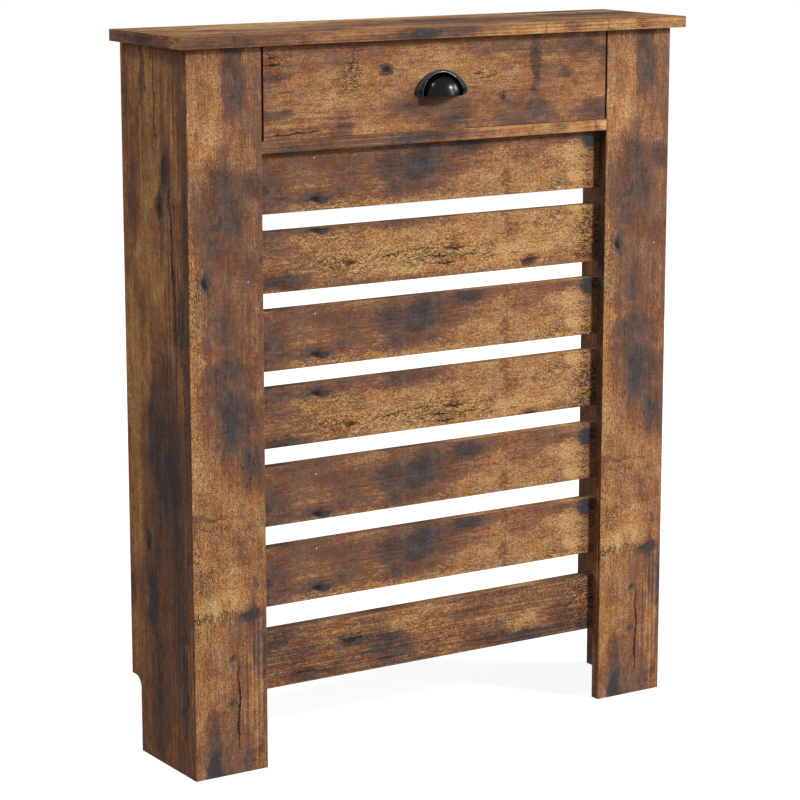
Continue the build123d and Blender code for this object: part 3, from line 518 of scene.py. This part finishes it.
# finishes of the small pieces: the size of the grain in mm along each axis, its two colours, its
# two roughnesses and its height in mm
smallFinishes = {
    # black plated die-cast zinc: a dark mirror that turns deeper black towards its outline
    "blackPlatedZinc": {
        "grain": (3, 3, 3), "dark": "#1f1f20", "light": "#252526", "rough": (0.2, 0.24),
        "relief": 0.004, "shader": {"Metallic": 1.0, "Specular Tint": fromHex("#000000")}},
    # the bead: a lighter plating than the dome's, a painted highlight that draws a bright line
    # round the dome's root
    "paintedHighlightBeadPlating": {
        "grain": (2, 2, 2), "dark": "#4c4f52", "light": "#6a6e72", "rough": (0.24, 0.32),
        "relief": 0.004, "shader": {"Metallic": 1.0}},
    # the same casting under satin lacquer on the flat plate: cooler, with a fine grain
    "satinLacqueredZinc": {
        "grain": (0.9, 0.9, 0.9), "dark": "#0d1013", "light": "#181d21", "rough": (0.42, 0.55),
        "relief": 0.03, "shader": {"Specular IOR Level": 0.16}},
    # blackened steel screws: deep black, with a little gloss on their rims
    "blackenedScrew": {
        "grain": (0.8, 0.8, 0.8), "dark": "#050506", "light": "#101113", "rough": (0.16, 0.24),
        "relief": 0.02, "shader": {"Specular IOR Level": 0.14}},
    # plain brown melamine of the drawer box: a soft straight grain
    "plainBrownMelamine": {
        "grain": (2, 60, 2), "dark": "#5d4433", "light": "#715541", "rough": (0.45, 0.55),
        "relief": 0.05, "shader": {"Specular IOR Level": 0.3}},
    # faced hardboard: a fine matt fibre
    "facedHardboard": {
        "grain": (1.5, 3, 1.5), "dark": "#66492f", "light": "#7d5c3e", "rough": (0.6, 0.75),
        "relief": 0.05, "shader": {"Specular IOR Level": 0.25}},
    # bare beech: pale, with short darker flecks along the dowel
    "bareBeech": {
        "grain": (0.8, 0.8, 6), "dark": "#b48a5c", "light": "#d3ab7c", "rough": (0.6, 0.7),
        "relief": 0.05, "shader": {"Specular IOR Level": 0.25}},
    # zinc plate on rolled steel: pale blue grey with faint clouding
    "zincPlatedSteel": {
        "grain": (4, 18, 4), "dark": "#a9adb2", "light": "#c2c6cb", "rough": (0.26, 0.4),
        "relief": 0.01, "shader": {"Metallic": 1.0}},
    "zincPlatedScrew": {
        "grain": (1.2, 1.2, 1.2), "dark": "#a0a4aa", "light": "#c0c4c9", "rough": (0.24, 0.38),
        "relief": 0.01, "shader": {"Metallic": 1.0}},
    # die-cast zinc: dull, slightly grainy
    "castZinc": {
        "grain": (0.7, 0.7, 0.7), "dark": "#8d9196", "light": "#a7abb0", "rough": (0.42, 0.56),
        "relief": 0.03, "shader": {"Metallic": 1.0}},
    "polishedBallSteel": {
        "grain": (1, 1, 1), "dark": "#d3d5d8", "light": "#dcdee1", "rough": (0.06, 0.12),
        "relief": 0.002, "shader": {"Metallic": 1.0}},
    # moulded cage plastic: black with a fine satin texture
    "mouldedCagePlastic": {
        "grain": (0.5, 0.5, 0.5), "dark": "#17181a", "light": "#222326", "rough": (0.42, 0.55),
        "relief": 0.02, "shader": {"Specular IOR Level": 0.4}},
}
# the noise that all of these share: its detail and roughness, the values that it is spread
# between, and how strongly it stands out
smallGrain = {"detail": 4, "rough": 0.6, "low": 0.3, "high": 0.7, "emboss": 0.3}
slotFinish = {
    "drawer_board": "plainBrownMelamine", "hardboard": "facedHardboard", "beech": "bareBeech",
    "black_metal": "blackenedScrew", "zinc_steel": "zincPlatedSteel",
    "zinc_screw": "zincPlatedScrew", "cast_zinc": "castZinc", "ball_steel": "polishedBallSteel",
    "cage_plastic": "mouldedCagePlastic",
}

small = {}
for name, s in smallFinishes.items():
    # colour, roughness and relief all come from one noise
    low, high = smallGrain["low"], smallGrain["high"]
    material, tree = newMaterial(name)
    coords = addNode(tree, "ShaderNodeTexCoord")
    scaled = addNode(tree, "ShaderNodeMapping", {
        "Scale": tuple(1 / (mm * size) for size in s["grain"])},
        {"Vector": coords.outputs["Object"]})
    noise = addNode(tree, "ShaderNodeTexNoise", {
        "Scale": 1.0, "Detail": smallGrain["detail"], "Roughness": smallGrain["rough"]},
        {"Vector": scaled.outputs[0]}).outputs["Fac"]
    tones = addNode(tree, "ShaderNodeValToRGB", {"stops": [(low, s["dark"]), (high, s["light"])]},
                    {"Fac": noise})
    rough = addNode(tree, "ShaderNodeMapRange", dict(zip(fromTo, (low, high, *s["rough"]))),
                    {"Value": noise})
    bump = addNode(tree, "ShaderNodeBump", {
        "Strength": smallGrain["emboss"], "Distance": s["relief"] * mm}, {"Height": noise})
    shader = addNode(tree, "ShaderNodeBsdfPrincipled", s["shader"], {
        "Base Color": tones.outputs[0], "Roughness": rough.outputs[0], "Normal": bump.outputs[0]})
    addNode(tree, "ShaderNodeOutputMaterial", links={"Surface": shader.outputs[0]})
    small[name] = material
for piece in frame["record"]["subparts"]:
    finish = slotFinish.get(piece["material_slot"])
    if finish:
        dress(nodes[piece["node"]], small[finish])
print("small pieces dressed")


# the cup pull: a half dome open below, a bead round its root, and a flat arched plate whose lower
# corners are the ears for the screws; lengths in mm, out is measured forward from the plate, and
# the dome and the bead are sunk a little into it
pull = {
    "face": -75, "bottom": 865.5, "plate": 2.0, "sunk": 1.0, "turnSteps": 96,
    "domeRadius": 29.6, "domeRoot": 0.7, "domeOut": 23.0, "domeSteps": 16, "domeWall": 1.4,
    "domeRound": 0.35,
    "beadRadius": 30.9, "beadInner": 28.6, "beadOut": 1.3, "beadRound": 0.6, "beadSteps": 3,
    "beadFlat": 0.5, "beadFall": 0.2,
    "archRadius": 43.84, "archSink": 10.84, "archSteps": 160, "shoulder": 7.55,
    "earRadius": 5.3, "earSteps": 64, "earSpacing": 70, "plateRound": 0.7,
    "weld": 0.001, "cornerWeld": 0.01, "level": 0.01, "smoothAngle": 40,
}
plateFront = pull["face"] - pull["plate"]
pullCentre = Vector((0, pull["face"], pull["bottom"])) * mm


def applyModifier(piece, kind, settings):
    modifier = piece.modifiers.new(kind.lower(), kind)
    for name, value in settings.items():
        setattr(modifier, name, value)
    bpy.context.view_layer.objects.active = piece
    bpy.ops.object.modifier_apply(modifier=modifier.name)


def cutAway(point, normal, fill=False):
    # removes what lies beyond a plane, given in mm
    bpy.ops.mesh.select_all(action="SELECT")
    bpy.ops.mesh.bisect(
        plane_co=Vector(point) * mm, plane_no=normal, clear_outer=True, use_fill=fill)


def turned(name, outline, closed):
    # an outline of (radius, out) points in mm, turned round the pull's axis and cut off below
    start = Vector((outline[0][0], plateFront - outline[0][1], pull["bottom"])) * mm
    bpy.ops.mesh.primitive_plane_add(size=mm, location=start)
    piece = bpy.context.object
    piece.name = name
    bpy.ops.object.transform_apply(location=True, rotation=True, scale=True)
    bpy.ops.object.mode_set(mode="EDIT")
    bpy.ops.mesh.merge(type="CENTER")
    for (radius, out), (nextRadius, nextOut) in zip(outline, outline[1:]):
        step = Vector((nextRadius - radius, out - nextOut, 0)) * mm
        bpy.ops.mesh.extrude_region_move(TRANSFORM_OT_translate={"value": step})
    bpy.ops.mesh.select_all(action="SELECT")
    if closed:
        mesh = bmesh.from_edit_mesh(piece.data)
        ends = [vert for vert in mesh.verts if len(vert.link_edges) == 1]
        mesh.edges.new(ends)
        bmesh.update_edit_mesh(piece.data)
        bpy.ops.mesh.select_all(action="SELECT")
    bpy.ops.mesh.spin(
        steps=pull["turnSteps"], angle=math.radians(360), center=pullCentre, axis=(0, 1, 0))
    bpy.ops.mesh.select_all(action="SELECT")
    bpy.ops.mesh.remove_doubles(threshold=pull["weld"] * mm)
    cutAway((0, 0, pull["bottom"]), (0, 0, -1), fill=closed)
    bpy.ops.mesh.select_all(action="SELECT")
    bpy.ops.mesh.normals_make_consistent(inside=False)
    bpy.ops.object.mode_set(mode="OBJECT")
    return piece


def settle(piece):
    # the finished piece's object at the origin, with its place in its mesh
    bpy.ops.object.select_all(action="DESELECT")
    piece.select_set(True)
    bpy.context.view_layer.objects.active = piece
    bpy.ops.object.transform_apply(location=True, rotation=True, scale=True)
    bpy.ops.object.shade_smooth_by_angle(angle=math.radians(pull["smoothAngle"]))


# the dome starts inside the plate and closes on the axis
rootOut = pull["domeRoot"]
outline = [(pull["domeRadius"], -pull["sunk"])]
for step in range(pull["domeSteps"] + 1):
    turn = math.radians(90) * step / pull["domeSteps"]
    outline.append((pull["domeRadius"] * math.cos(turn),
                    rootOut + (pull["domeOut"] - rootOut) * math.sin(turn)))
dome = turned("cup_pull_dome", outline, closed=False)
applyModifier(dome, "SOLIDIFY", {
    "thickness": pull["domeWall"] * mm, "offset": -1, "use_even_offset": True})
applyModifier(dome, "BEVEL", {
    "width": pull["domeRound"] * mm, "segments": 2, "angle_limit": math.radians(50)})
settle(dome)

# the bead: its outer corner is rounded, and it slopes down to the dome
outline = [(pull["beadInner"], -pull["sunk"]), (pull["beadRadius"], -pull["sunk"])]
for step in range(pull["beadSteps"] + 1):
    turn = math.radians(90) * step / pull["beadSteps"]
    outline.append((pull["beadRadius"] - pull["beadRound"] * (1 - math.cos(turn)),
                    pull["beadOut"] - pull["beadRound"] * (1 - math.sin(turn))))
outline += [(pull["domeRadius"] + pull["beadFlat"], pull["beadOut"] - pull["beadFall"]),
            (pull["beadInner"], pull["beadFall"])]
bead = turned("cup_pull_bead", outline, closed=True)
settle(bead)

# the plate: an arch cut off at the shoulder, a band below it, and two round ears
earX = pull["earSpacing"] / 2
shoulderZ = pull["bottom"] + pull["shoulder"]
earZ = pull["bottom"] + pull["earRadius"]
discs = [(0, pull["bottom"] - pull["archSink"], pull["archRadius"], pull["archSteps"])] + [
    (side * earX, earZ, pull["earRadius"], pull["earSteps"]) for side in (-1, 1)]
parts = []
for x, z, radius, steps in discs:
    bpy.ops.mesh.primitive_circle_add(
        vertices=steps, radius=radius * mm, fill_type="NGON",
        location=(x * mm, pull["face"] * mm, z * mm), rotation=(math.radians(90), 0, 0))
    part = bpy.context.object
    bpy.ops.object.transform_apply(location=True, rotation=True, scale=True)
    bpy.ops.object.mode_set(mode="EDIT")
    if not parts:
        # the arch ends at its shoulder, where the cut edge is resized to the ears' spacing and
        # pulled down to the bottom
        cutAway((0, 0, shoulderZ), (0, 0, -1))
        mesh = bmesh.from_edit_mesh(part.data)
        bpy.ops.mesh.select_mode(type="EDGE")
        bpy.ops.mesh.select_all(action="DESELECT")
        for edge in mesh.edges:
            edge.select_set(all(
                abs(vert.co.z / mm - shoulderZ) < pull["level"] for vert in edge.verts))
        bmesh.update_edit_mesh(part.data)
        bpy.ops.mesh.extrude_region_move(TRANSFORM_OT_translate={"value": (0, 0, 0)})
        half = math.sqrt(pull["archRadius"] ** 2 - (pull["shoulder"] + pull["archSink"]) ** 2)
        bpy.ops.transform.resize(value=(earX / half, 1, 1), center_override=pullCentre)
        bpy.ops.mesh.extrude_region_move(
            TRANSFORM_OT_translate={"value": (0, 0, -pull["shoulder"] * mm)})
        bpy.ops.mesh.select_all(action="SELECT")
        bpy.ops.mesh.remove_doubles(threshold=pull["weld"] * mm)
    bpy.ops.mesh.select_all(action="SELECT")
    bpy.ops.mesh.extrude_region_move(
        TRANSFORM_OT_translate={"value": (0, -pull["plate"] * mm, 0)})
    bpy.ops.mesh.select_all(action="SELECT")
    bpy.ops.mesh.normals_make_consistent(inside=False)
    bpy.ops.object.mode_set(mode="OBJECT")
    parts.append(part)
plate = parts[0]
plate.name = "cup_pull_plate"
for part in parts[1:]:
    applyModifier(plate, "BOOLEAN", {"operation": "UNION", "object": part, "solver": "EXACT"})
    bpy.data.objects.remove(part)
# each ear meets the band's corner in one point, which is merged before the edges are rounded
plate.select_set(True)
bpy.ops.object.mode_set(mode="EDIT")
bpy.ops.mesh.select_all(action="SELECT")
bpy.ops.mesh.remove_doubles(threshold=pull["cornerWeld"] * mm)
bpy.ops.object.mode_set(mode="OBJECT")
applyModifier(plate, "BEVEL", {
    "width": pull["plateRound"] * mm, "segments": 3, "angle_limit": math.radians(60)})
settle(plate)

# the bead's lighter plating paints a highlight line round the dome
for piece, finish in ((dome, "blackPlatedZinc"), (bead, "paintedHighlightBeadPlating"),
                      (plate, "satinLacqueredZinc")):
    dress(piece, small[finish])
    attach(piece, "drawer")
    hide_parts("cup_pull")
print("cup pull modelled")


# the studio: pale floor, white surround, a key at the front right with a tall strip below it, a
# broad box further right, a tall one behind on the left, and a spark for the pull; places and
# sizes in metres, angles in degrees, lens and sensor in mm, power in watts
studio = {
    "camera": (-1.966, -3.042, 1.188), "pitch": 11.54, "yaw": 32.67, "lens": 123.1, "sensor": 36,
    "ambient": 0.02, "floorSize": 9, "floorColour": "#9c9b99",
    "floorGlow": 0.87, "farGlow": 1.0, "glowFrom": 0.9, "glowTo": 2.4,
    "lampsAim": (0, 0, 0.5),
    "lamps": {
        "key": {"azimuth": 36, "height": 27, "distance": 8, "wide": 0.9, "tall": 0.9,
                "power": 396},
        "strip": {"azimuth": 37, "height": 14, "distance": 8, "wide": 1.6, "tall": 3.4,
                  "power": 210},
        "right": {"azimuth": 60, "height": 21, "distance": 8, "wide": 1.3, "tall": 2.0,
                  "power": 370},
        "left": {"azimuth": -130, "height": 27, "distance": 6, "wide": 1.6, "tall": 3.6,
                 "power": 148},
        "spark": {"azimuth": -74, "height": 52, "distance": 8, "wide": 0.7, "tall": 0.7,
                  "power": 130},
    },
}

bpy.ops.mesh.primitive_plane_add(size=studio["floorSize"], location=(0, 0, 0))
floor = bpy.context.object
floor.name = "studio_floor"


def unlitRays(tree):
    # 1 for rays from the camera, from gloss and through glass, which see the floor and the
    # surround as plain white
    path = addNode(tree, "ShaderNodeLightPath")
    seen = path.outputs["Is Camera Ray"]
    for label in ("Is Glossy Ray", "Is Transmission Ray"):
        seen = addNode(tree, "ShaderNodeMath", {"operation": "MAXIMUM"},
                       {0: seen, 1: path.outputs[label]}).outputs[0]
    return seen


# matt paint that glows softly to the camera, fully white away from the object
floorMaterial, tree = newMaterial("paleStudioFloor")
paint = addNode(tree, "ShaderNodeBsdfDiffuse", {"Color": fromHex(studio["floorColour"])})
coords = addNode(tree, "ShaderNodeTexCoord")
away = addNode(tree, "ShaderNodeVectorMath", {"operation": "LENGTH"},
               {0: coords.outputs["Object"]})
glowHere = addNode(tree, "ShaderNodeMapRange", {
    "interpolation_type": "SMOOTHSTEP",
    "From Min": studio["glowFrom"], "From Max": studio["glowTo"],
    "To Min": studio["floorGlow"], "To Max": studio["farGlow"]}, {"Value": away.outputs["Value"]})
glowStrength = addNode(tree, "ShaderNodeMath", {"operation": "MULTIPLY"},
                       {0: unlitRays(tree), 1: glowHere.outputs[0]})
glow = addNode(tree, "ShaderNodeEmission", links={"Strength": glowStrength.outputs[0]})
both = addNode(tree, "ShaderNodeAddShader", links={0: paint.outputs[0], 1: glow.outputs[0]})
addNode(tree, "ShaderNodeOutputMaterial", links={"Surface": both.outputs[0]})
floor.data.materials.append(floorMaterial)

world = bpy.data.worlds.new("studioWorld")
bpy.context.scene.world = world
world.use_nodes = True
tree = world.node_tree
tree.nodes.clear()
strength = addNode(tree, "ShaderNodeMapRange", {"To Min": studio["ambient"], "To Max": 1.0},
                   {"Value": unlitRays(tree)})
backdrop = addNode(tree, "ShaderNodeBackground", {"Color": (1, 1, 1, 1)},
                   {"Strength": strength.outputs[0]})
addNode(tree, "ShaderNodeOutputWorld", links={"Surface": backdrop.outputs[0]})

for label, s in studio["lamps"].items():
    # its direction, with azimuth 0 straight in front and 90 on the right
    turn, rise = math.radians(s["azimuth"]), math.radians(s["height"])
    toward = Vector((
        math.sin(turn) * math.cos(rise), -math.cos(turn) * math.cos(rise), math.sin(rise)))
    lamp = bpy.data.lights.new(label + "_softbox", "AREA")
    lamp.shape, lamp.size, lamp.size_y, lamp.energy = "RECTANGLE", s["wide"], s["tall"], s["power"]
    lampObject = bpy.data.objects.new(label + "_softbox", lamp)
    bpy.context.scene.collection.objects.link(lampObject)
    lampObject.location = Vector(studio["lampsAim"]) + toward * s["distance"]
    lampObject.rotation_euler = toward.to_track_quat("Z", "Y").to_euler()

cameraData = bpy.data.cameras.new("photo_camera")
cameraData.lens, cameraData.sensor_width = studio["lens"], studio["sensor"]
camera = bpy.data.objects.new("photo_camera", cameraData)
bpy.context.scene.collection.objects.link(camera)
camera.location = studio["camera"]
camera.rotation_euler = (math.radians(90 - studio["pitch"]), 0, math.radians(-studio["yaw"]))
bpy.context.scene.camera = camera
bpy.context.scene.view_settings.view_transform = "Standard"
print("studio ready")
